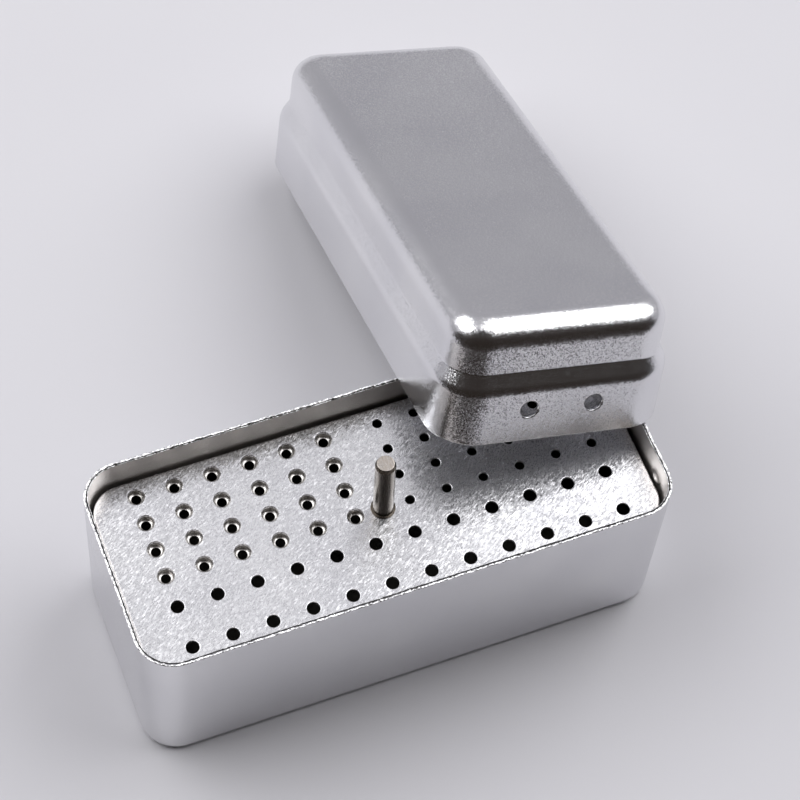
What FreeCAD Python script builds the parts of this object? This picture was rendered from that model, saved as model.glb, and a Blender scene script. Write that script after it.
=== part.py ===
# Endodontic box: a drawn aluminium tub, a perforated insert with a steel lifting post,
# and a stepped lid that has been taken off and leans across the back of the tub.
# Millimetres, +Z up, +X along the tub, +Y to its back. The origin is the centre of the tub's foot.
import FreeCAD, Part
import math
import os

V = FreeCAD.Vector
UP = V(0, 0, 1)

# Tub
LENGTH = 128.5
WIDTH = 53.0
HEIGHT = 46.0
CORNER = 9.0
TUB_WALL = 1.0
TUB_FOOT_RADIUS = 2.3
STOP_SPREAD = 29.6
STOP_DEPTH = 7.0
STOP_RADIUS = 2.0
STOP_REACH = 0.5

# Lid
LID_PLAY = 1.1
LID_WALL = 1.1
LID_CORNER = 10.6
SKIRT_HEIGHT = 17.9
STEP_INSET = 2.05
STEP_DROP = 3.7
SHOULDER_RADIUS = 4.4
STEP_RADIUS = 0.8
LID_HEIGHT = 30.5
CROWN_RADIUS = 5.9
VENT_DIAMETER = 4.4
VENT_SPREAD = 15.8
VENT_HEIGHT = 8.7

# How the lid leans: its turn, how far it reaches over the tub and past its right end
LID_TURN = 88.43
LID_REACH = 31.6
LID_OVERHANG = 8.2
REST_GAP = 0.3

# Insert tray
RECESS = 7.9
TRAY_PLAY = 0.8
TRAY_CORNER = 7.2
TRAY_WALL = 0.8
TRAY_EDGE_RADIUS = 1.0
SEAT_GAP = 0.3

# Holes of the tray: two rows of large ones, a block of small ones and a block of cups.
# The whole pattern is punched a little to the right of the tray's middle
PATTERN_SHIFT = 0.7
LARGE_HOLE = 3.1
LARGE_PITCH = 9.5
LARGE_COLUMNS = 12
LARGE_ROW_PITCH = 10.5
LARGE_FIRST_ROW = -9.0
SMALL_HOLE = 2.3
SMALL_PITCH = 9.12
SMALL_ROW_PITCH = 7.13
SMALL_ROWS = 4
SMALL_COLUMNS = 6
SMALL_FIRST_COLUMN = 6.68
SMALL_FIRST_ROW = 20.5
CUP_DIAMETER = 4.2
CUP_DEPTH = 1.5
CUP_WALL = 0.7
CUP_HOLE = 2.3

# Lifting post and what it carries
POST_DIAMETER = 4.6
POST_HEIGHT = 21.3
POST_CHAMFER = 0.8
COLLAR_DIAMETER = 5.8
COLLAR_HEIGHT = 0.4
STUD_DIAMETER = 3.0
STUD_PLAY = 0.1
STUD_TAIL = 1.0
SLEEVE_DIAMETER = 6.0
REST_DEPTH = 19.0
REST_WALL = 1.0
REST_FLANGE = 5.0
REST_EDGE_RADIUS = 1.5
REST_PLAY = 0.3
WASHER_DIAMETER = 9.0
WASHER_THICKNESS = 0.8
NUT_FLATS = 5.5
NUT_HEIGHT = 2.4


def rounded_outline(corners):
    """Closed flat wire in the XZ plane from (x, z, radius) corners, tangent arcs at the corners."""
    edges = []
    ends = []
    count = len(corners)
    for i, (x, z, radius) in enumerate(corners):
        here = V(x, 0, z)
        if radius == 0:
            ends.append((here, here, None))
            continue
        back = V(corners[i - 1][0], 0, corners[i - 1][1]) - here
        ahead = V(corners[(i + 1) % count][0], 0, corners[(i + 1) % count][1]) - here
        half_angle = back.getAngle(ahead) / 2
        reach = radius / math.tan(half_angle)
        back.normalize()
        ahead.normalize()
        middle = back + ahead
        middle.normalize()
        crest = here + middle * (radius / math.sin(half_angle) - radius)
        ends.append((here + back * reach, here + ahead * reach, crest))
    for i, (start, finish, crest) in enumerate(ends):
        if crest is not None:
            edges.append(Part.Arc(start, crest, finish).toShape())
        following = ends[(i + 1) % count][0]
        if finish.distanceToPoint(following) > 1e-6:
            edges.append(Part.LineSegment(finish, following).toShape())
    return Part.Wire(edges)


def drawn_shell(length, width, corner, corners):
    """A drawn pan: one wall section led round a rounded rectangle, and the plate inside it.

    The section's x is 0 at the corner's centre and grows outwards, and it holds the plate's
    thickness at x = 0, where the straight sides and the corners meet the middle of the plate.
    """
    section = Part.Face(rounded_outline(corners))
    half_x = length / 2 - corner
    half_y = width / 2 - corner
    plate_heights = [z for x, z, radius in corners if x == 0]
    plate_low = min(plate_heights)
    plate_thickness = max(plate_heights) - plate_low
    plate = Part.makeBox(2 * half_x, 2 * half_y, plate_thickness, V(-half_x, -half_y, plate_low))
    pieces = []
    for turn, across, along in ((0, half_x, half_y), (90, half_y, half_x),
                                (180, half_x, half_y), (270, half_y, half_x)):
        side = section.copy()
        side.translate(V(across, -along, 0))
        side = side.extrude(V(0, 2 * along, 0))
        bend = section.copy()
        bend.translate(V(across, along, 0))
        bend = bend.revolve(V(across, along, 0), UP, 90)
        for piece in (side, bend):
            piece.rotate(V(0, 0, 0), UP, turn)
            pieces.append(piece)
    return plate.fuse(pieces).removeSplitter()


def cylinder(diameter, height, x, y, z):
    return Part.makeCylinder(diameter / 2, height, V(x, y, z))


# Heights that several pieces share
tray_top = HEIGHT - RECESS
tray_underside = tray_top - TRAY_WALL
rest_top = tray_top - REST_DEPTH
rest_underside = rest_top - REST_WALL
washer_low = rest_underside - WASHER_THICKNESS
nut_low = washer_low - NUT_HEIGHT

# Sizes in plan that several pieces share
inner_length = LENGTH - 2 * TUB_WALL
inner_width = WIDTH - 2 * TUB_WALL
tray_length = inner_length - 2 * TRAY_PLAY
tray_width = inner_width - 2 * TRAY_PLAY
rest_length = tray_length - 2 * (TRAY_WALL + REST_PLAY)
rest_width = tray_width - 2 * (TRAY_WALL + REST_PLAY)
rest_corner = TRAY_CORNER - TRAY_WALL
lid_length = LENGTH + 2 * (LID_PLAY + LID_WALL)
lid_width = WIDTH + 2 * (LID_PLAY + LID_WALL)
stud_bore = STUD_DIAMETER + 2 * STUD_PLAY

# The post stands in the middle of the pattern, in line with the front row of small holes
post_x = PATTERN_SHIFT
post_y = SMALL_FIRST_ROW - (SMALL_ROWS - 1) * SMALL_ROW_PITCH


def tub():
    """Deep-drawn tub with two pressed stops in its right end wall, over the tray's edge."""
    shell = drawn_shell(LENGTH, WIDTH, CORNER, [
        (0, 0, 0),
        (CORNER, 0, TUB_FOOT_RADIUS),
        (CORNER, HEIGHT, 0),
        (CORNER - TUB_WALL, HEIGHT, 0),
        (CORNER - TUB_WALL, TUB_WALL, TUB_FOOT_RADIUS - TUB_WALL),
        (0, TUB_WALL, 0)])
    # A pressed stop is a spherical dome inside, with its hollow outside
    dome_radius = (STOP_RADIUS ** 2 + STOP_REACH ** 2) / (2 * STOP_REACH)
    dome_centre = inner_length / 2 - STOP_REACH + dome_radius
    hollow_centre = dome_centre + TUB_WALL
    for side in (-1, 1):
        y = side * STOP_SPREAD / 2
        z = HEIGHT - STOP_DEPTH
        dome = Part.makeSphere(dome_radius, V(dome_centre, y, z))
        low = V(inner_length / 2 - STOP_REACH, y - 2 * STOP_RADIUS, z - 2 * STOP_RADIUS)
        inside_wall = Part.makeBox(STOP_REACH + TUB_WALL / 2, 4 * STOP_RADIUS, 4 * STOP_RADIUS, low)
        shell = shell.fuse(dome.common(inside_wall))
        shell = shell.cut(Part.makeSphere(dome_radius, V(hollow_centre, y, z)))
    return shell


def hole_places():
    """Centres of the large, small and cup holes of the tray."""
    large = []
    for row in range(2):
        for column in range(LARGE_COLUMNS):
            x = (column - (LARGE_COLUMNS - 1) / 2) * LARGE_PITCH
            large.append((PATTERN_SHIFT + x, LARGE_FIRST_ROW - row * LARGE_ROW_PITCH))
    small = []
    cups = []
    for row in range(SMALL_ROWS):
        for column in range(SMALL_COLUMNS):
            x = SMALL_FIRST_COLUMN + column * SMALL_PITCH
            y = SMALL_FIRST_ROW - row * SMALL_ROW_PITCH
            small.append((PATTERN_SHIFT + x, y))
            cups.append((PATTERN_SHIFT - x, y))
    return large, small, cups


def insert_tray():
    """Inverted drawn pan: its plate carries the holes, its turned-down wall stands on the tub's floor."""
    corner = TRAY_CORNER
    foot = TUB_WALL + SEAT_GAP
    tray = drawn_shell(tray_length, tray_width, corner, [
        (0, tray_top, 0),
        (corner, tray_top, TRAY_EDGE_RADIUS),
        (corner, foot, 0),
        (corner - TRAY_WALL, foot, 0),
        (corner - TRAY_WALL, tray_underside, TRAY_EDGE_RADIUS - TRAY_WALL),
        (0, tray_underside, 0)])
    large, small, cups = hole_places()
    cup_outside = CUP_DIAMETER + 2 * CUP_WALL
    cup_low = tray_top - CUP_DEPTH - CUP_WALL
    tray = tray.fuse([cylinder(cup_outside, tray_underside - cup_low, x, y, cup_low) for x, y in cups])
    drills = [cylinder(LARGE_HOLE, TRAY_WALL, x, y, tray_underside) for x, y in large]
    drills += [cylinder(SMALL_HOLE, TRAY_WALL, x, y, tray_underside) for x, y in small]
    drills += [cylinder(CUP_DIAMETER, CUP_DEPTH, x, y, tray_top - CUP_DEPTH) for x, y in cups]
    drills += [cylinder(CUP_HOLE, CUP_WALL, x, y, cup_low) for x, y in cups]
    drills.append(cylinder(stud_bore, TRAY_WALL, post_x, post_y, tray_underside))
    return tray.cut(Part.makeCompound(drills)).removeSplitter()


def rest_plate():
    """Shallow inverted pan inside the insert, which the points of the burs and files stand on."""
    flange_low = rest_top - REST_FLANGE
    plate = drawn_shell(rest_length, rest_width, rest_corner, [
        (0, rest_top, 0),
        (rest_corner, rest_top, REST_EDGE_RADIUS),
        (rest_corner, flange_low, 0),
        (rest_corner - REST_WALL, flange_low, 0),
        (rest_corner - REST_WALL, rest_underside, REST_EDGE_RADIUS - REST_WALL),
        (0, rest_underside, 0)])
    return plate.cut(cylinder(stud_bore, REST_WALL, post_x, post_y, rest_underside))


def lifting_post():
    """Turned stainless post: chamfered grip, collar on the tray, and a stud down to the nut."""
    grip = POST_DIAMETER / 2
    collar = COLLAR_DIAMETER / 2
    stud = STUD_DIAMETER / 2
    top = tray_top + POST_HEIGHT
    stud_low = nut_low - STUD_TAIL
    outline = [(0, stud_low), (stud, stud_low), (stud, tray_top), (collar, tray_top),
               (collar, tray_top + COLLAR_HEIGHT), (grip, tray_top + COLLAR_HEIGHT),
               (grip, top - POST_CHAMFER), (grip - POST_CHAMFER, top), (0, top), (0, stud_low)]
    section = Part.Face(Part.makePolygon([V(x, 0, z) for x, z in outline]))
    post = section.revolve(V(0, 0, 0), UP, 360)
    post.translate(V(post_x, post_y, 0))
    return post


def spacer_sleeve():
    """Aluminium tube between the tray and the rest plate."""
    low = rest_top
    length = tray_underside - low
    tube = cylinder(SLEEVE_DIAMETER, length, post_x, post_y, low)
    return tube.cut(cylinder(stud_bore, length, post_x, post_y, low))


def plate_washer():
    disc = cylinder(WASHER_DIAMETER, WASHER_THICKNESS, post_x, post_y, washer_low)
    return disc.cut(cylinder(stud_bore, WASHER_THICKNESS, post_x, post_y, washer_low))


def post_nut():
    """Hexagon nut under the rest plate, with its corners turned off at both faces."""
    across_corners = NUT_FLATS / math.cos(math.radians(30))
    corners = []
    for i in range(7):
        angle = math.radians(60 * i)
        corners.append(V(across_corners / 2 * math.cos(angle), across_corners / 2 * math.sin(angle), 0))
    hexagon = Part.Face(Part.makePolygon(corners)).extrude(V(0, 0, NUT_HEIGHT))
    rim = (across_corners - NUT_FLATS) / 2
    outline = [(0, 0), (NUT_FLATS / 2, 0), (NUT_FLATS / 2 + rim, rim),
               (NUT_FLATS / 2 + rim, NUT_HEIGHT - rim), (NUT_FLATS / 2, NUT_HEIGHT), (0, NUT_HEIGHT), (0, 0)]
    barrel = Part.Face(Part.makePolygon([V(x, 0, z) for x, z in outline])).revolve(V(0, 0, 0), UP, 360)
    nut = hexagon.common(barrel)
    nut = nut.cut(cylinder(stud_bore, NUT_HEIGHT, 0, 0, 0))
    nut.translate(V(post_x, post_y, nut_low))
    return nut


def skirt_edge(inset):
    """Points round the lower edge of the lid's skirt, that far inside its outer face."""
    points = []
    radius = LID_CORNER - inset
    for turn, sign_x, sign_y in ((0, 1, 1), (90, -1, 1), (180, -1, -1), (270, 1, -1)):
        for step in range(25):
            angle = math.radians(turn + 90 * step / 24)
            points.append(V(sign_x * (lid_length / 2 - LID_CORNER) + radius * math.cos(angle),
                            sign_y * (lid_width / 2 - LID_CORNER) + radius * math.sin(angle), 0))
    points.append(points[0])
    return points


def crossing(points, axis, value):
    """Points where a closed line of points crosses the upright plane axis = value."""
    found = []
    for a, b in zip(points, points[1:]):
        if (a[axis] - value) * (b[axis] - value) < 0:
            share = (value - a[axis]) / (b[axis] - a[axis])
            found.append(a + (b - a) * share)
    return found


def lid_placement(pitch, roll):
    """The lid at these tilts, standing on the table by its lowest corner, and its two gaps to the rim."""
    rotation = FreeCAD.Rotation(LID_TURN, pitch, roll)
    outer = [rotation.multVec(p) for p in skirt_edge(0)]
    inner = [rotation.multVec(p) for p in skirt_edge(LID_WALL)]
    place = V(LENGTH / 2 + LID_OVERHANG - max(p.x for p in outer),
              WIDTH / 2 - LID_REACH - min(p.y for p in outer),
              REST_GAP - min(p.z for p in outer))
    inner = [p + place for p in inner]
    back = min(p.z for p in crossing(inner, 1, WIDTH / 2) if p.x < LENGTH / 2)
    right = min(p.z for p in crossing(inner, 0, LENGTH / 2) if p.y < WIDTH / 2)
    return FreeCAD.Placement(place, rotation), back - HEIGHT - REST_GAP, right - HEIGHT - REST_GAP


def leaning_lid():
    """Tilts the lid until it also rests on the tub's back rim and on its right rim."""
    pitch, roll = 20.0, 12.0
    nudge = 0.01
    for step in range(12):
        placement, back, right = lid_placement(pitch, roll)
        back_pitch, right_pitch = lid_placement(pitch + nudge, roll)[1:]
        back_roll, right_roll = lid_placement(pitch, roll + nudge)[1:]
        a, b = (back_pitch - back) / nudge, (back_roll - back) / nudge
        c, d = (right_pitch - right) / nudge, (right_roll - right) / nudge
        spread = a * d - b * c
        pitch -= (d * back - b * right) / spread
        roll -= (a * right - c * back) / spread
    return lid_placement(pitch, roll)[0]


def lid():
    """Stepped lid, drawn with its skirt down, then leant across the tub."""
    outer = LID_CORNER
    inner = LID_CORNER - LID_WALL
    # The skirt rounds over into a steep step, and the step's lining is the same line moved in by the wall
    slope = math.atan2(STEP_DROP, STEP_INSET)
    lining_drop = LID_WALL * math.tan((math.pi / 2 - slope) / 2)
    step_low = SKIRT_HEIGHT - STEP_DROP
    roof = LID_HEIGHT - LID_WALL
    cover = drawn_shell(lid_length, lid_width, LID_CORNER, [
        (0, LID_HEIGHT, 0),
        (0, roof, 0),
        (inner - STEP_INSET, roof, CROWN_RADIUS - LID_WALL),
        (inner - STEP_INSET, SKIRT_HEIGHT - lining_drop, STEP_RADIUS + LID_WALL),
        (inner, step_low - lining_drop, SHOULDER_RADIUS - LID_WALL),
        (inner, 0, 0),
        (outer, 0, 0),
        (outer, step_low, SHOULDER_RADIUS),
        (outer - STEP_INSET, SKIRT_HEIGHT, STEP_RADIUS),
        (outer - STEP_INSET, LID_HEIGHT, CROWN_RADIUS)])
    for side in (-1, 1):
        start = V(-lid_length / 2, side * VENT_SPREAD / 2, VENT_HEIGHT)
        cover = cover.cut(Part.makeCylinder(VENT_DIAMETER / 2, lid_length, start, V(1, 0, 0)))
    cover.Placement = leaning_lid()
    return cover


NODES = {
    "base_tub": tub,
    "insert_tray": insert_tray,
    "rest_plate": rest_plate,
    "lifting_post": lifting_post,
    "spacer_sleeve": spacer_sleeve,
    "plate_washer": plate_washer,
    "post_nut": post_nut,
    "lid_cover": lid,
}

os.makedirs("parts", exist_ok=True)
for name, make in NODES.items():
    shape = make()
    shape.exportStep("parts/" + name + ".step")
    box = shape.BoundBox
    print(name, "solids", len(shape.Solids), "valid", shape.isValid(), "volume", round(shape.Volume, 1),
          "box", [round(v, 2) for v in (box.XMin, box.XMax, box.YMin, box.YMax, box.ZMin, box.ZMax)])
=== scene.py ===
# Endodontic box: a drawn aluminium tub, its perforated insert with a steel lifting post,
# and the stepped lid, taken off and leaning across the back of the tub.
import bpy
import bmesh
import math
from mathutils import Euler, Matrix, Vector, noise


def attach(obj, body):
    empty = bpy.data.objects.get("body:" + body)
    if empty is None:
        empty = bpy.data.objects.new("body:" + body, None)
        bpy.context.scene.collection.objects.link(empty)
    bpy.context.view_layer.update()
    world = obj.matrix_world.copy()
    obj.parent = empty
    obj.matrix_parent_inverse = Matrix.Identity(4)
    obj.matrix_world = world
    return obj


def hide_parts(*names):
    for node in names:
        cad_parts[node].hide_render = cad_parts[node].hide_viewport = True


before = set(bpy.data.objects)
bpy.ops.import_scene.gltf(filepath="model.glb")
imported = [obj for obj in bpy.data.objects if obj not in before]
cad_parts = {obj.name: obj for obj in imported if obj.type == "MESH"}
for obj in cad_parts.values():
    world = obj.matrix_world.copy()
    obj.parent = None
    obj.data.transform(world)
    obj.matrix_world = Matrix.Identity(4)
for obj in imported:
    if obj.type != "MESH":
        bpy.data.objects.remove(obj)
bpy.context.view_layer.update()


# Base tub
# The real tub is deep-drawn from 1 mm aluminium sheet, blasted to a fine grain and clear anodised.
# Its rim is cut and tumbled, so it is brighter than the walls, and two stops are pressed into the
# right end wall from outside. The sizes of all pieces are in millimetres.
MM = 0.001
TUB_LENGTH = 128.5
TUB_WIDTH = 53.0
TUB_HEIGHT = 46.0
TUB_CORNER = 9.0
TUB_WALL = 1.0
TUB_FOOT_RADIUS = 2.3
# One flat face fills the middle of the foot and of the floor, up to this far past the corners' centres
FLOOR_START = 1.0
RIM_ROUNDING = 0.2
RIM_SLACK = 0.02
# The torn line: how far in from outside it lies, its width and depth, and how far its edges dip
GROOVE_PLACE = 0.68
GROOVE_WIDTH = 0.3
GROOVE_DEPTH = 0.18
GROOVE_DIP = 0.02
# Tumbling left the highest half millimetre uneven, with small nicks on longer swells
UNEVEN_HEIGHT = 0.5
UNEVEN_SEED = 7
NICKS_PER_MM = 1.3
NICK_SIZE = 0.05
SWELLS_PER_MM = 0.25
SWELL_SIZE = 0.06
# The stops: how far apart and below the rim they are, their size, and how far they stand out
STOP_SPREAD = 29.6
STOP_DEPTH = 7.0
STOP_RADIUS = 2.0
STOP_REACH = 0.5
STOP_RINGS = 14
STOP_TIP = 0.05
# The round bump and the moat outside it, as shares of the radius that the punch drew in
BUMP_SHARE = 0.72
BUMP_FULLNESS = 0.7
MOAT_SHARE = 0.3
MOAT_MARGIN = 0.3
MOAT_DEPTH = 0.14
# Half the width and half the height of what is cut from the wall for a stop
STOP_PATCH = (STOP_RADIUS + 1.0, STOP_RADIUS + 1.2)
WALL_SLACK = 0.1
X_AXIS = Vector((1, 0, 0))
Y_AXIS = Vector((0, 1, 0))
# The order of the finishes on the tub, of which the lid has the first two
OUTSIDE, EDGE, GROOVE, INSIDE = range(4)


def linear(hex_colour):
    """The linear colour of an sRGB hex value."""
    channels = []
    for start in (1, 3, 5):
        value = int(hex_colour[start:start + 2], 16) / 255
        if value <= 0.04045:
            channels.append(value / 12.92)
        else:
            channels.append(((value + 0.055) / 1.055) ** 2.4)
    return (channels[0], channels[1], channels[2], 1.0)


def empty_tree(owner):
    """The node tree of a material or a world, with nothing in it."""
    owner.use_nodes = True
    owner.node_tree.nodes.clear()
    return owner.node_tree


def add_node(tree, kind, settings, sockets):
    """Adds a node, with its settings, and with a value or a link for each socket that is named."""
    node = tree.nodes.new(kind)
    for name, value in settings.items():
        setattr(node, name, value)
    for name, value in sockets.items():
        if isinstance(value, bpy.types.NodeSocket):
            tree.links.new(value, node.inputs[name])
        else:
            node.inputs[name].default_value = value
    return node


# Stains and waves of the drawn sheet are about as wide as a finger
STAIN_SIZE = 22.0


def aluminium(name, colour, stain, roughness, facet, tilt, wave_height, streak=1, streak_turn=0):
    """Blasted and anodised aluminium: a metal of small tilted facets, with soft stains and faint waves.

    A facet has a size and a steepest tilt, as a slope. It is streak times as long as it is wide, and
    its length lies at streak_turn degrees on the sheet.
    """
    material = bpy.data.materials.new(name)
    tree = empty_tree(material)
    place = add_node(tree, "ShaderNodeTexCoord", {}, {}).outputs["Object"]
    drawn = add_node(tree, "ShaderNodeMapping", {"vector_type": "TEXTURE"}, {
        "Vector": place, "Rotation": (0, 0, math.radians(streak_turn)), "Scale": (streak, 1, 1)})
    facets = add_node(tree, "ShaderNodeTexVoronoi", {}, {
        "Vector": drawn.outputs["Vector"], "Scale": 1000 / facet})
    wave = add_node(tree, "ShaderNodeTexNoise", {}, {
        "Vector": place, "Scale": 1000 / STAIN_SIZE, "Detail": 1.0, "Roughness": 0.5})
    soft = add_node(tree, "ShaderNodeMapRange", {}, {
        "Value": wave.outputs["Fac"], "From Min": 0.35, "From Max": 0.65})
    tint = add_node(tree, "ShaderNodeMix", {"data_type": "RGBA"}, {
        "Factor": soft.outputs["Result"], "A": linear(colour), "B": linear(stain)})
    gloss = add_node(tree, "ShaderNodeMapRange", {}, {
        "Value": facets.outputs["Distance"], "From Min": 0.1, "From Max": 0.7,
        "To Min": roughness - 0.03, "To Max": roughness + 0.04})
    waves = add_node(tree, "ShaderNodeBump", {}, {
        "Height": wave.outputs["Fac"], "Strength": 1.0, "Distance": wave_height * MM})
    lean = add_node(tree, "ShaderNodeVectorMath", {"operation": "MULTIPLY_ADD"}, {
        0: facets.outputs["Color"], 1: (2 * tilt,) * 3, 2: (-tilt,) * 3})
    leaning = add_node(tree, "ShaderNodeVectorMath", {"operation": "ADD"}, {
        0: waves.outputs["Normal"], 1: lean.outputs["Vector"]})
    relief = add_node(tree, "ShaderNodeVectorMath", {"operation": "NORMALIZE"}, {
        0: leaning.outputs["Vector"]})
    shader = add_node(tree, "ShaderNodeBsdfPrincipled", {}, {
        "Base Color": tint.outputs["Result"], "Metallic": 1.0, "Roughness": gloss.outputs["Result"],
        "Normal": relief.outputs["Vector"]})
    add_node(tree, "ShaderNodeOutputMaterial", {}, {"Surface": shader.outputs["BSDF"]})
    return material


# The facets break each highlight's edge into fine speckle, and the walls stay satin. Real grit leaves
# facets of about 0.1 mm, and on every finish of this metal they are drawn wider, so that they show.
shell_aluminium = aluminium("blasted_anodised_aluminium", colour="#e6e6e8", stain="#e0e0e3",
                            roughness=0.22, facet=0.26, tilt=0.06, wave_height=0.03)
# Tumbled bare metal is brighter, and its steep coarse facets make the rim sparkle
edge_aluminium = aluminium("tumbled_aluminium_edge", colour="#f2f2f3", stain="#ebebec",
                           roughness=0.25, facet=0.5, tilt=0.3, wave_height=0.01)
# The shear leaves a torn line along the cut. Its dark colour is painted shade for the groove, broken by
# bright burrs
groove_painted_shade = aluminium("torn_edge_line_painted_shade", colour="#34322f", stain="#4a4845",
                             roughness=0.4, facet=0.5, tilt=0.5, wave_height=0.01)
# Inside, the punch rubbed the wall smooth and the blast barely reached: greyer, softer reflections
rubbed_aluminium = aluminium("rubbed_drawn_aluminium", colour="#f0ebe6", stain="#dfdad5",
                             roughness=0.38, facet=0.3, tilt=0.04, wave_height=0.04)
# A section's straight run longer than the first of these gets a point near each end, and others
# between them about as far apart as the last
LONG_RUN = 1.0
RUN_END = 0.25
RUN_SPACING = 3.0


def section_line(corners, arc_steps):
    """Points of an open section line from (out, height, radius) corners, with rounded corners.

    The points on long straight runs keep them flat beside the rounded corners.
    """
    arcs = []
    for i, (x, z, radius) in enumerate(corners):
        here = Vector((x, z))
        if radius == 0 or i in (0, len(corners) - 1):
            arcs.append([here])
            continue
        back = (Vector(corners[i - 1][:2]) - here).normalized()
        ahead = (Vector(corners[i + 1][:2]) - here).normalized()
        half_angle = back.angle(ahead) / 2
        centre = here + (back + ahead).normalized() * (radius / math.sin(half_angle))
        start = here + back * (radius / math.tan(half_angle)) - centre
        sweep = start.angle_signed(here + ahead * (radius / math.tan(half_angle)) - centre)
        arc = []
        for step in range(arc_steps + 1):
            turn = -sweep * step / arc_steps
            arc.append(centre + Vector((start.x * math.cos(turn) - start.y * math.sin(turn),
                                        start.x * math.sin(turn) + start.y * math.cos(turn))))
        arcs.append(arc)
    points = []
    for i, arc in enumerate(arcs):
        points += arc
        if i + 1 < len(arcs):
            run = arcs[i + 1][0] - arc[-1]
            if run.length > LONG_RUN:
                points.append(arc[-1] + run * (RUN_END / run.length))
                count = int(run.length / RUN_SPACING)
                for step in range(1, count):
                    points.append(arc[-1] + run * (step / count))
                points.append(arc[-1] + run * (1 - RUN_END / run.length))
    return points


def led_round(mesh, half_x, half_y, section, spacing, corner_steps, slots):
    """Leads a section line round a rounded rectangle and returns its first and last ring.

    slots gives the finish of the faces between two neighbouring points of the section.
    """
    columns = []
    for turn, along, across in ((0, half_y, half_x), (90, half_x, half_y),
                                (180, half_y, half_x), (270, half_x, half_y)):
        angle = math.radians(turn)
        out = Vector((math.cos(angle), math.sin(angle)))
        side = Vector((-out.y, out.x))
        count = round(2 * along / spacing)
        for i in range(count + 1):
            columns.append((out * across + side * (along * (2 * i / count - 1)), out))
        for i in range(1, corner_steps):
            angle = math.radians(turn + 90 * i / corner_steps)
            columns.append((out * across + side * along, Vector((math.cos(angle), math.sin(angle)))))
    rings = []
    for out, z in section:
        ring = []
        for base, direction in columns:
            spot = base + direction * out
            ring.append(mesh.verts.new((spot.x * MM, spot.y * MM, z * MM)))
        rings.append(ring)
    for level in range(len(rings) - 1):
        low, high = rings[level], rings[level + 1]
        for i in range(len(columns)):
            j = (i + 1) % len(columns)
            face = mesh.faces.new((low[i], low[j], high[j], high[i]))
            face.material_index = slots(section[level], section[level + 1])
    return rings[0], rings[-1]


def turned(mesh, middle, axis, across, profile, segments, slots):
    """Turns a (radius, height) profile about an axis and returns its first and last ring."""
    third = axis.cross(across)
    rings = []
    for radius, height in profile:
        ring = []
        for i in range(segments):
            angle = 2 * math.pi * i / segments
            spoke = across * math.cos(angle) + third * math.sin(angle)
            ring.append(mesh.verts.new((middle + axis * height + spoke * radius) * MM))
        rings.append(ring)
    for level in range(len(rings) - 1):
        low, high = rings[level], rings[level + 1]
        for i in range(segments):
            j = (i + 1) % segments
            face = mesh.faces.new((low[i], low[j], high[j], high[i]))
            face.material_index = slots(profile[level], profile[level + 1])
    return rings[0], rings[-1]


def all_one(finish):
    """Gives all faces of a turned form the same finish."""
    return lambda low, high: finish


def loop_edges(mesh, ring):
    """The closed loop of edges through a ring of points."""
    edges = []
    for i in range(len(ring)):
        pair = (ring[i], ring[(i + 1) % len(ring)])
        edge = mesh.edges.get(pair)
        if edge is None:
            edge = mesh.edges.new(pair)
        edges.append(edge)
    return edges


def cut_patch(mesh, middle, half_width, half_height):
    """Cuts a rectangle out of an end wall, round its middle, and returns the edges round the gap."""
    faces = []
    for face in mesh.faces:
        spot = face.calc_center_median() / MM
        if (abs(spot.x - middle.x) < WALL_SLACK and abs(spot.y - middle.y) < half_width
                and abs(spot.z - middle.z) < half_height):
            faces.append(face)
    edges = []
    for face in faces:
        for edge in face.edges:
            if edge not in edges and any(other not in faces for other in edge.link_faces):
                edges.append(edge)
    bmesh.ops.delete(mesh, geom=faces, context="FACES")
    return [edge for edge in edges if edge.is_valid]


def fill_between(mesh, edges, finish, normal=(0, 0, 0)):
    """Fills the flat sheet between loops of edges with faces of one finish."""
    filled = bmesh.ops.triangle_fill(mesh, edges=edges, use_beauty=True, normal=normal)
    for part in filled["geom"]:
        if isinstance(part, bmesh.types.BMFace):
            part.material_index = finish


def finished_piece(name, mesh, materials):
    """Makes the mesh into a smooth-shaded object with these materials."""
    bmesh.ops.recalc_face_normals(mesh, faces=mesh.faces)
    for face in mesh.faces:
        face.smooth = True
    data = bpy.data.meshes.new(name)
    mesh.to_mesh(data)
    mesh.free()
    for material in materials:
        data.materials.append(material)
    piece = bpy.data.objects.new(name, data)
    bpy.context.scene.collection.objects.link(piece)
    return piece


tub_mesh = bmesh.new()
tub_half_x = TUB_LENGTH / 2 - TUB_CORNER
tub_half_y = TUB_WIDTH / 2 - TUB_CORNER
tub_line = section_line([
    (FLOOR_START, 0, 0),
    (TUB_CORNER, 0, TUB_FOOT_RADIUS),
    (TUB_CORNER, TUB_HEIGHT, RIM_ROUNDING),
    (TUB_CORNER - GROOVE_PLACE + GROOVE_WIDTH / 2, TUB_HEIGHT - GROOVE_DIP, 0),
    (TUB_CORNER - GROOVE_PLACE, TUB_HEIGHT - GROOVE_DEPTH, 0),
    (TUB_CORNER - GROOVE_PLACE - GROOVE_WIDTH / 2, TUB_HEIGHT - GROOVE_DIP, 0),
    (TUB_CORNER - TUB_WALL, TUB_HEIGHT, RIM_ROUNDING),
    (TUB_CORNER - TUB_WALL, TUB_WALL, TUB_FOOT_RADIUS - TUB_WALL),
    (FLOOR_START, TUB_WALL, 0)], arc_steps=6)


def tub_finish(low, high):
    """Tumbled edge and the torn line's painted shade on the rim, rubbed walls inside, and the blasted
    shell elsewhere.
    """
    if min(low[1], high[1]) < TUB_HEIGHT - RIM_ROUNDING - RIM_SLACK:
        lining = max(low[0], high[0]) < TUB_CORNER - TUB_WALL / 2
        return INSIDE if lining and max(low[1], high[1]) > TUB_WALL else OUTSIDE
    from_outside = TUB_CORNER - (low[0] + high[0]) / 2
    return GROOVE if abs(from_outside - GROOVE_PLACE) < GROOVE_WIDTH / 2 else EDGE


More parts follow.
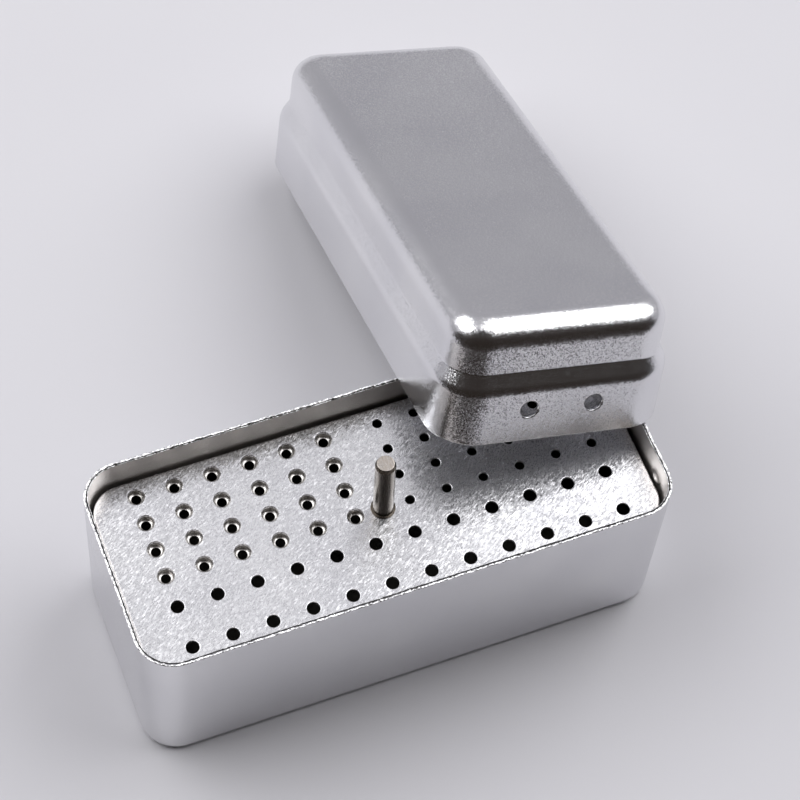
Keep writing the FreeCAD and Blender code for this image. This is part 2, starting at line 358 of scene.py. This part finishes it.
foot_ring, floor_ring = led_round(tub_mesh, tub_half_x, tub_half_y, tub_line, spacing=0.7,
                                  corner_steps=20, slots=tub_finish)
tub_mesh.faces.new(foot_ring)
tub_mesh.faces.new(floor_ring)
# The uneven rim is nowhere wider than the walls below it, and its seed makes it the same each time
noise.seed_set(UNEVEN_SEED)
widest_x = TUB_LENGTH / 2 * MM
widest_y = TUB_WIDTH / 2 * MM
for vert in tub_mesh.verts:
    near_rim = (vert.co.z / MM - (TUB_HEIGHT - UNEVEN_HEIGHT)) / UNEVEN_HEIGHT
    if near_rim > 0:
        nick = noise.noise_vector(vert.co / MM * NICKS_PER_MM) * NICK_SIZE
        swell = noise.noise_vector(vert.co / MM * SWELLS_PER_MM) * SWELL_SIZE
        vert.co += (nick + swell) * near_rim * MM
        vert.co.x = min(max(vert.co.x, -widest_x), widest_x)
        vert.co.y = min(max(vert.co.y, -widest_y), widest_y)
# The punch draws the wall in round the bump, which leaves a shallow moat outside it
dome = []
for step in range(STOP_RINGS + 1):
    share = 1 - step / STOP_RINGS
    bump = max(0.0, 1 - (share / BUMP_SHARE) ** 2) ** BUMP_FULLNESS
    moat = math.sin(math.pi * min(1.0, (1 - share) / MOAT_SHARE)) ** 2
    dome.append((max(STOP_TIP, (STOP_RADIUS + MOAT_MARGIN) * share),
                 MOAT_DEPTH * moat - STOP_REACH * bump))
for side in (-1, 1):
    for wall_x, finish in ((TUB_LENGTH / 2 - TUB_WALL, INSIDE), (TUB_LENGTH / 2, OUTSIDE)):
        stop = Vector((wall_x, side * STOP_SPREAD / 2, TUB_HEIGHT - STOP_DEPTH))
        gap = cut_patch(tub_mesh, stop, *STOP_PATCH)
        outer_ring, tip_ring = turned(tub_mesh, stop, X_AXIS, Y_AXIS, dome, segments=28,
                                      slots=all_one(finish))
        tub_mesh.faces.new(tip_ring).material_index = finish
        fill_between(tub_mesh, gap + loop_edges(tub_mesh, outer_ring), finish)
tub = finished_piece("tub_shell", tub_mesh, [shell_aluminium, edge_aluminium, groove_painted_shade,
                                            rubbed_aluminium])
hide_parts("base_tub")
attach(tub, "tub")


# Rest plate
# A shallow inverted pan inside the insert, which the points of burs and files stand on. It is left as
# drawn and dull. Its dark colour, and that of the inside of the insert, is painted shade: through the
# holes it looks black.
underside_painted_shade = aluminium("dull_aluminium_painted_shade", colour="#4d4b48", stain="#454340",
                            roughness=0.55, facet=0.4, tilt=0.05, wave_height=0.03, streak=3)


def dress(node, material):
    """Gives a solid whose shape is right a better material."""
    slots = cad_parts[node].data.materials
    slots.clear()
    slots.append(material)


dress("rest_plate", underside_painted_shade)


# Insert tray
# An inverted pan of 0.8 mm aluminium, drawn and blasted, then pierced with two rows of 3.1 mm holes
# and a block of 2.3 mm ones, and coined with a block of cups. The punch leaves each hole a soft lip.
RECESS = 7.9
TRAY_PLAY = 0.8
TRAY_CORNER = 7.2
TRAY_WALL = 0.8
TRAY_EDGE_RADIUS = 0.45
TRAY_SHEET_RADIUS = 0.2
TRAY_TOP_MARGIN = 0.3
TRAY_UNDER_MARGIN = 0.8
SEAT_GAP = 0.3
TRAY_TOP = TUB_HEIGHT - RECESS
TRAY_UNDERSIDE = TRAY_TOP - TRAY_WALL
TRAY_FOOT = TUB_WALL + SEAT_GAP
PATTERN_SHIFT = 0.7
LARGE_HOLE = 3.1
LARGE_COLUMNS = 12
LARGE_ROWS = 2
LARGE_PITCH = 9.5
LARGE_ROW_PITCH = 10.5
LARGE_FIRST_ROW = -9.0
SMALL_HOLE = 2.3
SMALL_COLUMNS = 6
SMALL_ROWS = 4
SMALL_PITCH = 9.12
SMALL_ROW_PITCH = 7.13
SMALL_FIRST_COLUMN = 6.68
SMALL_FIRST_ROW = 20.5
# The post stands on the line of the small holes' front row
POST_Y = SMALL_FIRST_ROW - (SMALL_ROWS - 1) * SMALL_ROW_PITCH
STUD_BORE = 3.2
HOLE_LIP = 0.14
HOLE_SEGMENTS = 32
LIP_MARGIN = 0.2
LIP_STEPS = 4
BURR_BREAK = 0.1
# Below a steep bevel at its lip, a cup has an upright wall, and then a cone that falls to its hole
CUP_DIAMETER = 4.2
CUP_MARGIN = 0.3
CUP_LIP_RADIUS = 0.04
CUP_BEVEL = 0.26
CUP_BEVEL_DROP = 0.34
CUP_BEVEL_RADIUS = 0.06
CUP_SHELF = 0.85
CUP_SHELF_RADIUS = 0.25
CUP_DEPTH = 1.4
CUP_WALL = 0.7
CUP_HOLE = 2.3
CUP_HOLE_LIP = 0.1
CUP_SLACK = 0.05
# The coined finish starts this far below the plate
COINED_FROM = 0.03
Z_AXIS = Vector((0, 0, 1))
# The order of the finishes on the tray
PLATE, UNDERSIDE, COINED = range(3)
# The sheet was brushed before it was blasted, so its grain lies in faint streaks across the plate
insert_aluminium = aluminium("brushed_blasted_aluminium", colour="#eeeef0", stain="#e7e7ea",
                             roughness=0.27, facet=0.19, tilt=0.075, wave_height=0.015,
                             streak=4.0, streak_turn=34)
# The coining punch left the cups smoother than the blasted plate. Their darker colour is painted shade
# in the cups' hollows
coined_aluminium_painted_shade = aluminium("coined_aluminium_painted_shade", colour="#d6d3d0", stain="#cac7c3",
                             roughness=0.27, facet=0.25, tilt=0.05, wave_height=0.01)
tray_mesh = bmesh.new()
tray_half_x = TUB_LENGTH / 2 - TUB_WALL - TRAY_PLAY - TRAY_CORNER
tray_half_y = TUB_WIDTH / 2 - TUB_WALL - TRAY_PLAY - TRAY_CORNER
tray_line = section_line([
    (TRAY_CORNER - TRAY_EDGE_RADIUS - TRAY_TOP_MARGIN, TRAY_TOP, 0),
    (TRAY_CORNER, TRAY_TOP, TRAY_EDGE_RADIUS),
    (TRAY_CORNER, TRAY_FOOT, TRAY_SHEET_RADIUS),
    (TRAY_CORNER - TRAY_WALL, TRAY_FOOT, TRAY_SHEET_RADIUS),
    (TRAY_CORNER - TRAY_WALL, TRAY_UNDERSIDE, TRAY_SHEET_RADIUS),
    (TRAY_CORNER - TRAY_WALL - TRAY_UNDER_MARGIN, TRAY_UNDERSIDE, 0)], arc_steps=6)


def tray_finish(low, high):
    """Blasted outside, and dull with painted shade on the inside of the walls and under the plate."""
    below = min(low[1], high[1]) < TRAY_TOP - TRAY_WALL / 2
    return UNDERSIDE if below and max(low[0], high[0]) < TRAY_CORNER - TRAY_WALL / 2 else PLATE


top_ring, under_ring = led_round(tray_mesh, tray_half_x, tray_half_y, tray_line, spacing=1.0,
                                 corner_steps=16, slots=tray_finish)
top_edges = loop_edges(tray_mesh, top_ring)
under_edges = loop_edges(tray_mesh, under_ring)


def lip(radius, height, spread):
    """Rounded edge of a hole: from the flat sheet over and down to the hole's wall."""
    points = [(radius + spread + LIP_MARGIN, height)]
    for step in range(LIP_STEPS + 1):
        angle = math.pi / 2 * step / LIP_STEPS
        points.append((radius + spread * (1 - math.sin(angle)),
                       height - spread * (1 - math.cos(angle))))
    return points


def pierced(radius, wall, spread):
    """Section of a pierced hole: a soft lip, a straight bore, and a broken edge on the far side."""
    return lip(radius, 0.0, spread) + [(radius, -wall + BURR_BREAK), (radius + BURR_BREAK, -wall)]


def cup_finish(low, high):
    """Blasted at the very lip, coined with painted shade down to the floor, and dull with painted shade
    from the hole to the underside.
    """
    if min(low[1], high[1]) < -CUP_DEPTH - CUP_SLACK:
        return UNDERSIDE
    inside = max(low[0], high[0]) < CUP_DIAMETER / 2 + CUP_SLACK
    return COINED if inside and max(low[1], high[1]) < -COINED_FROM else PLATE


plain_holes = []
cup_places = []
for column in range(LARGE_COLUMNS):
    for row in range(LARGE_ROWS):
        plain_holes.append((PATTERN_SHIFT + (column - (LARGE_COLUMNS - 1) / 2) * LARGE_PITCH,
                            LARGE_FIRST_ROW - row * LARGE_ROW_PITCH, LARGE_HOLE / 2))
for column in range(SMALL_COLUMNS):
    for row in range(SMALL_ROWS):
        hole_x = SMALL_FIRST_COLUMN + column * SMALL_PITCH
        hole_y = SMALL_FIRST_ROW - row * SMALL_ROW_PITCH
        plain_holes.append((PATTERN_SHIFT + hole_x, hole_y, SMALL_HOLE / 2))
        cup_places.append((PATTERN_SHIFT - hole_x, hole_y))
plain_holes.append((PATTERN_SHIFT, POST_Y, STUD_BORE / 2))
for hole_x, hole_y, radius in plain_holes:
    first, last = turned(tray_mesh, Vector((hole_x, hole_y, TRAY_TOP)), Z_AXIS, X_AXIS,
                         pierced(radius, TRAY_WALL, HOLE_LIP), HOLE_SEGMENTS, all_one(PLATE))
    top_edges += loop_edges(tray_mesh, first)
    under_edges += loop_edges(tray_mesh, last)
cup_wall = CUP_DIAMETER / 2
cup_bore = CUP_HOLE / 2
cup_line = section_line([
    (cup_wall + CUP_MARGIN, 0, 0),
    (cup_wall, 0, CUP_LIP_RADIUS),
    (cup_wall - CUP_BEVEL, -CUP_BEVEL_DROP, CUP_BEVEL_RADIUS),
    (cup_wall - CUP_BEVEL, -CUP_SHELF, CUP_SHELF_RADIUS),
    (cup_bore + CUP_HOLE_LIP, -CUP_DEPTH, 0)], arc_steps=4)
cup_line += lip(cup_bore, -CUP_DEPTH, CUP_HOLE_LIP)[1:]
cup_line += [
    (cup_bore, -CUP_DEPTH - CUP_WALL),
    (cup_wall, -CUP_DEPTH - CUP_WALL),
    (cup_wall + CUP_WALL, -CUP_DEPTH),
    (cup_wall + CUP_WALL, -TRAY_WALL)]
for hole_x, hole_y in cup_places:
    first, last = turned(tray_mesh, Vector((hole_x, hole_y, TRAY_TOP)), Z_AXIS, X_AXIS,
                         cup_line, HOLE_SEGMENTS, cup_finish)
    top_edges += loop_edges(tray_mesh, first)
    under_edges += loop_edges(tray_mesh, last)
fill_between(tray_mesh, top_edges, PLATE, normal=Z_AXIS)
fill_between(tray_mesh, under_edges, UNDERSIDE, normal=Z_AXIS)
# The underside is dark with painted shade, and the cups are darker with painted shade
tray = finished_piece("perforated_insert", tray_mesh,
                      [insert_aluminium, underside_painted_shade, coined_aluminium_painted_shade])
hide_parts("insert_tray")
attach(tray, "insert")


# Sleeve, washer and nut under the tray
# An aluminium tube keeps the rest plate 19 mm below the tray, and a stainless washer and hexagon
# nut clamp both to the post's stud. They are turned parts with a plain machined finish.
TOOL_MARK_HEIGHT = 0.012


def turned_steel(name, colour, dark, roughness, marks):
    """Turned stainless steel, with fine tool marks of these lengths along x, y and z."""
    material = bpy.data.materials.new(name)
    tree = empty_tree(material)
    place = add_node(tree, "ShaderNodeTexCoord", {}, {}).outputs["Object"]
    stretched = add_node(tree, "ShaderNodeMapping", {}, {
        "Vector": place, "Scale": tuple(1000 / length for length in marks)})
    lines = add_node(tree, "ShaderNodeTexNoise", {}, {
        "Vector": stretched.outputs["Vector"], "Scale": 1.0, "Detail": 2.0, "Roughness": 0.6})
    blotch = add_node(tree, "ShaderNodeMapRange", {}, {
        "Value": lines.outputs["Fac"], "From Min": 0.35, "From Max": 0.65})
    tint = add_node(tree, "ShaderNodeMix", {"data_type": "RGBA"}, {
        "Factor": blotch.outputs["Result"], "A": linear(colour), "B": linear(dark)})
    gloss = add_node(tree, "ShaderNodeMapRange", {}, {
        "Value": lines.outputs["Fac"], "From Min": 0.3, "From Max": 0.7,
        "To Min": roughness - 0.04, "To Max": roughness + 0.06})
    ridges = add_node(tree, "ShaderNodeBump", {}, {
        "Height": lines.outputs["Fac"], "Strength": 1.0, "Distance": TOOL_MARK_HEIGHT * MM})
    shader = add_node(tree, "ShaderNodeBsdfPrincipled", {}, {
        "Base Color": tint.outputs["Result"], "Metallic": 1.0, "Roughness": gloss.outputs["Result"],
        "Normal": ridges.outputs["Normal"]})
    add_node(tree, "ShaderNodeOutputMaterial", {}, {"Surface": shader.outputs["BSDF"]})
    return material


# Rings from the lathe tool show as fine lines across the length. Real ones are about 0.1 mm apart,
# and they are drawn 0.25 mm apart so that they show.
hardware_steel = turned_steel("machined_stainless_steel", colour="#c9c7c4", dark="#b4b1ad",
                              roughness=0.28, marks=(6.0, 6.0, 0.25))
dress("spacer_sleeve", insert_aluminium)
dress("plate_washer", hardware_steel)
dress("post_nut", hardware_steel)


# Lifting post
# A 4.8 mm stainless rod, turned with a chamfered top and a thin collar that stands on the tray. Its
# 3 mm stud goes down through sleeve and plate to the nut. It was drawn lengthwise before turning.
POST_DIAMETER = 4.8
POST_HEIGHT = 21.3
POST_CHAMFER = 0.42
POST_CHAMFER_DROP = 1.05
CHAMFER_TOP_RADIUS = 0.07
CHAMFER_FOOT_RADIUS = 0.12
COLLAR_DIAMETER = 5.8
COLLAR_HEIGHT = 0.4
COLLAR_FILLET = 0.15
COLLAR_EDGE_RADIUS = 0.12
COLLAR_FOOT_RADIUS = 0.04
STUD_DIAMETER = 3.0
STUD_LENGTH = 24.2
STUD_FILLET = 0.05
STUD_END_RADIUS = 0.2
# The turned section starts and ends just off the axis, and a small flat face closes each end
AXIS_GAP = 0.02
END_SKIN = 0.1
# The real one stands a little off upright, towards the cups
POST_LEAN = 1.3
# The order of the finishes on the post
ROD, FACED_END = range(2)
# Lengthwise drawing lines, drawn 0.3 mm wide, coarser than the real ones, so that they show. The rod's
# dark brownish colour is a painted dark reflection, not the steel's own tone.
post_steel_painted_dark = turned_steel("drawn_stainless_rod_painted_dark", colour="#665f57", dark="#514a43",
                          roughness=0.25, marks=(0.3, 0.3, 14.0))
# The end is faced off bright, and short scratches lie across it, drawn as coarse as the rod's lines
faced_steel = turned_steel("faced_stainless_end", colour="#e2dbd3", dark="#bcb2a8",
                           roughness=0.28, marks=(0.3, 1.4, 1.4))
post_mesh = bmesh.new()
grip = POST_DIAMETER / 2
collar = COLLAR_DIAMETER / 2
stud = STUD_DIAMETER / 2
post_line = section_line([
    (AXIS_GAP, POST_HEIGHT, 0),
    (grip - POST_CHAMFER, POST_HEIGHT, CHAMFER_TOP_RADIUS),
    (grip, POST_HEIGHT - POST_CHAMFER_DROP, CHAMFER_FOOT_RADIUS),
    (grip, COLLAR_HEIGHT, COLLAR_FILLET),
    (collar, COLLAR_HEIGHT, COLLAR_EDGE_RADIUS),
    (collar, 0.0, COLLAR_FOOT_RADIUS),
    (stud, 0.0, STUD_FILLET),
    (stud, -STUD_LENGTH, STUD_END_RADIUS),
    (AXIS_GAP, -STUD_LENGTH, 0)], arc_steps=4)


def post_finish(low, high):
    """Faced bright at the top, and drawn rod below it."""
    return FACED_END if min(low[1], high[1]) > POST_HEIGHT - END_SKIN else ROD


post_top, post_foot = turned(post_mesh, Vector((PATTERN_SHIFT, POST_Y, TRAY_TOP)), Z_AXIS, X_AXIS,
                             post_line, segments=64, slots=post_finish)
post_mesh.faces.new(post_top).material_index = FACED_END
post_mesh.faces.new(post_foot)
for vert in post_mesh.verts:
    above = max(0.0, vert.co.z - (TRAY_TOP + COLLAR_HEIGHT) * MM)
    vert.co.x -= above * math.tan(math.radians(POST_LEAN))
post = finished_piece("post_turning", post_mesh, [post_steel_painted_dark, faced_steel])
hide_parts("lifting_post")
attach(post, "insert")


# Lid
# Deep-drawn like the tub, with a rounded crown and a step above its skirt, blasted and anodised.
# Two steam vents are punched in its near end. It stands on the table by its far end and leans on
# the tub's back rim and right rim.
LID_PLAY = 1.1
LID_WALL = 1.1
LID_CORNER = 10.6
SKIRT_HEIGHT = 17.9
SKIRT_EDGE_RADIUS = 0.25
SKIRT_EDGE_HEIGHT = 0.3
STEP_INSET = 2.05
STEP_DROP = 3.7
SHOULDER_RADIUS = 4.4
STEP_RADIUS = 0.8
LID_HEIGHT = 30.5
CROWN_RADIUS = 5.9
ROOF_START = 0.8
VENT_DIAMETER = 4.4
VENT_SPREAD = 15.8
VENT_HEIGHT = 8.7
VENT_LIP = 0.3
VENT_PATCH = (4.5, 4.2)
# The middle of its open side, and how it is tipped sideways, tipped lengthwise and turned, in degrees
LID_BASE = (42.949, 58.749, 27.850)
LID_TURNS = (11.363, 20.938, 88.43)
lid_mesh = bmesh.new()
lid_half_x = TUB_LENGTH / 2 + LID_PLAY + LID_WALL - LID_CORNER
lid_half_y = TUB_WIDTH / 2 + LID_PLAY + LID_WALL - LID_CORNER
lid_inner = LID_CORNER - LID_WALL
# The lining's step lies lower than the outside's by this much, so that the sheet keeps its thickness
lining_drop = LID_WALL * math.tan((math.pi / 2 - math.atan2(STEP_DROP, STEP_INSET)) / 2)
step_low = SKIRT_HEIGHT - STEP_DROP
roof = LID_HEIGHT - LID_WALL
lid_line = section_line([
    (ROOF_START, roof, 0),
    (lid_inner - STEP_INSET, roof, CROWN_RADIUS - LID_WALL),
    (lid_inner - STEP_INSET, SKIRT_HEIGHT - lining_drop, STEP_RADIUS + LID_WALL),
    (lid_inner, step_low - lining_drop, SHOULDER_RADIUS - LID_WALL),
    (lid_inner, 0, SKIRT_EDGE_RADIUS),
    (LID_CORNER, 0, SKIRT_EDGE_RADIUS),
    (LID_CORNER, step_low, SHOULDER_RADIUS),
    (LID_CORNER - STEP_INSET, SKIRT_HEIGHT, STEP_RADIUS),
    (LID_CORNER - STEP_INSET, LID_HEIGHT, CROWN_RADIUS),
    (ROOF_START, LID_HEIGHT, 0)], arc_steps=10)


def lid_finish(low, high):
    """Tumbled bright along the skirt's cut edge, and blasted elsewhere."""
    return EDGE if max(low[1], high[1]) < SKIRT_EDGE_HEIGHT else OUTSIDE


roof_ring, crown_ring = led_round(lid_mesh, lid_half_x, lid_half_y, lid_line, spacing=0.7,
                                  corner_steps=24, slots=lid_finish)
lid_mesh.faces.new(roof_ring)
lid_mesh.faces.new(crown_ring)
for side in (-1, 1):
    outer = Vector((-lid_half_x - LID_CORNER, side * VENT_SPREAD / 2, VENT_HEIGHT))
    outer_gap = cut_patch(lid_mesh, outer, *VENT_PATCH)
    inner_gap = cut_patch(lid_mesh, outer + X_AXIS * LID_WALL, *VENT_PATCH)
    first, last = turned(lid_mesh, outer, -X_AXIS, Y_AXIS,
                         pierced(VENT_DIAMETER / 2, LID_WALL, VENT_LIP),
                         segments=36, slots=all_one(OUTSIDE))
    fill_between(lid_mesh, outer_gap + loop_edges(lid_mesh, first), OUTSIDE)
    fill_between(lid_mesh, inner_gap + loop_edges(lid_mesh, last), OUTSIDE)
lean = Euler([math.radians(turn) for turn in LID_TURNS], "XYZ").to_matrix().to_4x4()
lid_mesh.transform(Matrix.Translation(Vector(LID_BASE) * MM) @ lean)
lid = finished_piece("stepped_lid", lid_mesh, [shell_aluminium, edge_aluminium])
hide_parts("lid_cover")
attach(lid, "lid")


# Table
# A smooth white laminate top, seen pale lavender-grey in the studio's light. It is matt, so it
# shows the box's soft shadow and no mirror image. Its fine pebbling is drawn coarse, 0.8 mm wide.
CLOUD_SIZE = 90
PEBBLE_SIZE = 0.8
PEBBLE_HEIGHT = 0.01
TABLE_REACH = 3.0
table_laminate = bpy.data.materials.new("matt_white_laminate")
tree = empty_tree(table_laminate)
place = add_node(tree, "ShaderNodeTexCoord", {}, {}).outputs["Object"]
cloud = add_node(tree, "ShaderNodeTexNoise", {}, {
    "Vector": place, "Scale": 1000 / CLOUD_SIZE, "Detail": 2.0})
tint = add_node(tree, "ShaderNodeMix", {"data_type": "RGBA"}, {
    "Factor": cloud.outputs["Fac"], "A": linear("#dad9dd"), "B": linear("#d6d5da")})
pebbles = add_node(tree, "ShaderNodeTexNoise", {}, {
    "Vector": place, "Scale": 1000 / PEBBLE_SIZE, "Detail": 1.0})
relief = add_node(tree, "ShaderNodeBump", {}, {
    "Height": pebbles.outputs["Fac"], "Strength": 1.0, "Distance": PEBBLE_HEIGHT * MM})
shader = add_node(tree, "ShaderNodeBsdfPrincipled", {}, {
    "Base Color": tint.outputs["Result"], "Roughness": 0.75, "Specular IOR Level": 0.25,
    "Normal": relief.outputs["Normal"]})
add_node(tree, "ShaderNodeOutputMaterial", {}, {"Surface": shader.outputs["BSDF"]})
table_mesh = bmesh.new()
bmesh.ops.create_grid(table_mesh, x_segments=1, y_segments=1, size=TABLE_REACH)
table = finished_piece("table_top", table_mesh, [table_laminate])


# Studio light
# Two large soft boxes stand high, one at the back left and one at the right, with grey room light
# behind and above. The room in front is dark, and every steep face of the metal shows that. The
# studio's distances, and the table's reach above, are in metres.
LAMP_DISTANCE = 1.3
LIT_POINT = Vector((0, 0.03, 0.03))


def soft_box(name, azimuth, height, wide, high, roll, radiance):
    """A rectangular lamp as seen from the object: its direction, its size and its roll, in degrees."""
    azimuth = math.radians(azimuth)
    height = math.radians(height)
    outward = Vector((math.cos(azimuth) * math.cos(height), math.sin(azimuth) * math.cos(height),
                      math.sin(height)))
    level = Z_AXIS.cross(outward).normalized()
    upward = outward.cross(level)
    turn = math.radians(roll)
    side = level * math.cos(turn) + upward * math.sin(turn)
    over = upward * math.cos(turn) - level * math.sin(turn)
    lamp = bpy.data.lights.new(name, "AREA")
    lamp.shape = "RECTANGLE"
    lamp.size = 2 * LAMP_DISTANCE * math.tan(math.radians(wide / 2))
    lamp.size_y = 2 * LAMP_DISTANCE * math.tan(math.radians(high / 2))
    lamp.energy = radiance * math.pi * lamp.size * lamp.size_y
    holder = bpy.data.objects.new(name, lamp)
    bpy.context.scene.collection.objects.link(holder)
    facing = Matrix((side, over, outward)).transposed().to_4x4()
    holder.matrix_world = Matrix.Translation(LIT_POINT + outward * LAMP_DISTANCE) @ facing
    holder.visible_camera = False


soft_box("soft_box_left", azimuth=137.6, height=50.4, wide=51.9, high=45.1, roll=30.0, radiance=2.55)
soft_box("soft_box_right", azimuth=4.4, height=51.1, wide=45.0, high=51.4, roll=40.0, radiance=2.5)
# The pale table ends close in front of the box, and a dark brown card stands for what lies beyond it.
# Only reflections see the card.
CARD_DISTANCE = 0.165
CARD_FACING = Vector((-0.447, -0.894, 0))
CARD_LENGTH = 2.4
CARD_HEIGHT = 0.45
card_paint = bpy.data.materials.new("dark_studio_card")
tree = empty_tree(card_paint)
glow = add_node(tree, "ShaderNodeEmission", {}, {"Color": linear("#2a2420"), "Strength": 1.0})
add_node(tree, "ShaderNodeOutputMaterial", {}, {"Surface": glow.outputs["Emission"]})
card_mesh = bmesh.new()
along = Vector((-CARD_FACING.y, CARD_FACING.x, 0)) * (CARD_LENGTH / 2)
foot = CARD_FACING * CARD_DISTANCE
lift = Vector((0, 0, CARD_HEIGHT))
card_mesh.faces.new([card_mesh.verts.new(spot) for spot in
                     (foot - along, foot + along, foot + along + lift, foot - along + lift)])
card = finished_piece("dark_card", card_mesh, [card_paint])
card.visible_camera = False
card.visible_diffuse = False
card.visible_shadow = False
card.visible_transmission = False
# Towards the front the grey room falls off to dark within a few degrees
ROOM_FRONT = (-0.26, -0.966, 0.0)
room = bpy.data.worlds.new("grey_room")
tree = empty_tree(room)
direction = add_node(tree, "ShaderNodeTexCoord", {}, {}).outputs["Generated"]
frontward = add_node(tree, "ShaderNodeVectorMath", {"operation": "DOT_PRODUCT"}, {
    0: direction, 1: ROOM_FRONT})
darkness = add_node(tree, "ShaderNodeMapRange", {"interpolation_type": "SMOOTHSTEP"}, {
    "Value": frontward.outputs["Value"], "From Min": 0.12, "From Max": 0.17})
room_light = add_node(tree, "ShaderNodeMix", {"data_type": "RGBA"}, {
    "Factor": darkness.outputs["Result"], "A": linear("#abaaaf"), "B": linear("#14100b")})
# Seen directly, the room is as pale as the table
camera_ray = add_node(tree, "ShaderNodeLightPath", {}, {}).outputs["Is Camera Ray"]
seen = add_node(tree, "ShaderNodeMix", {"data_type": "RGBA"}, {
    "Factor": camera_ray, "A": room_light.outputs["Result"], "B": linear("#d8d7dc")})
glow = add_node(tree, "ShaderNodeBackground", {}, {"Color": seen.outputs["Result"], "Strength": 1.0})
add_node(tree, "ShaderNodeOutputWorld", {}, {"Surface": glow.outputs["Background"]})
bpy.context.scene.world = room
bpy.context.scene.view_settings.view_transform = "Standard"


# Camera
# It stands at the photograph's angle, high in front and a little to the left, with a long lens, and
# the box nearly fills its square picture. Its place is in millimetres.
CAMERA_PLACE = (-123.08, -251.29, 555.2)
CAMERA_RIGHT = Vector((0.93146, -0.35945, 0.05645))
CAMERA_UP = Vector((0.28283, 0.81286, 0.50920))
CAMERA_FORWARD = Vector((0.22892, 0.45833, -0.8588))
camera_data = bpy.data.cameras.new("camera")
camera_data.sensor_width = 36.0
camera_data.lens = 115.26
camera = bpy.data.objects.new("camera", camera_data)
bpy.context.scene.collection.objects.link(camera)
facing = Matrix((CAMERA_RIGHT, CAMERA_UP, -CAMERA_FORWARD)).transposed().to_4x4()
camera.matrix_world = Matrix.Translation(Vector(CAMERA_PLACE) * MM) @ facing
bpy.context.scene.camera = camera
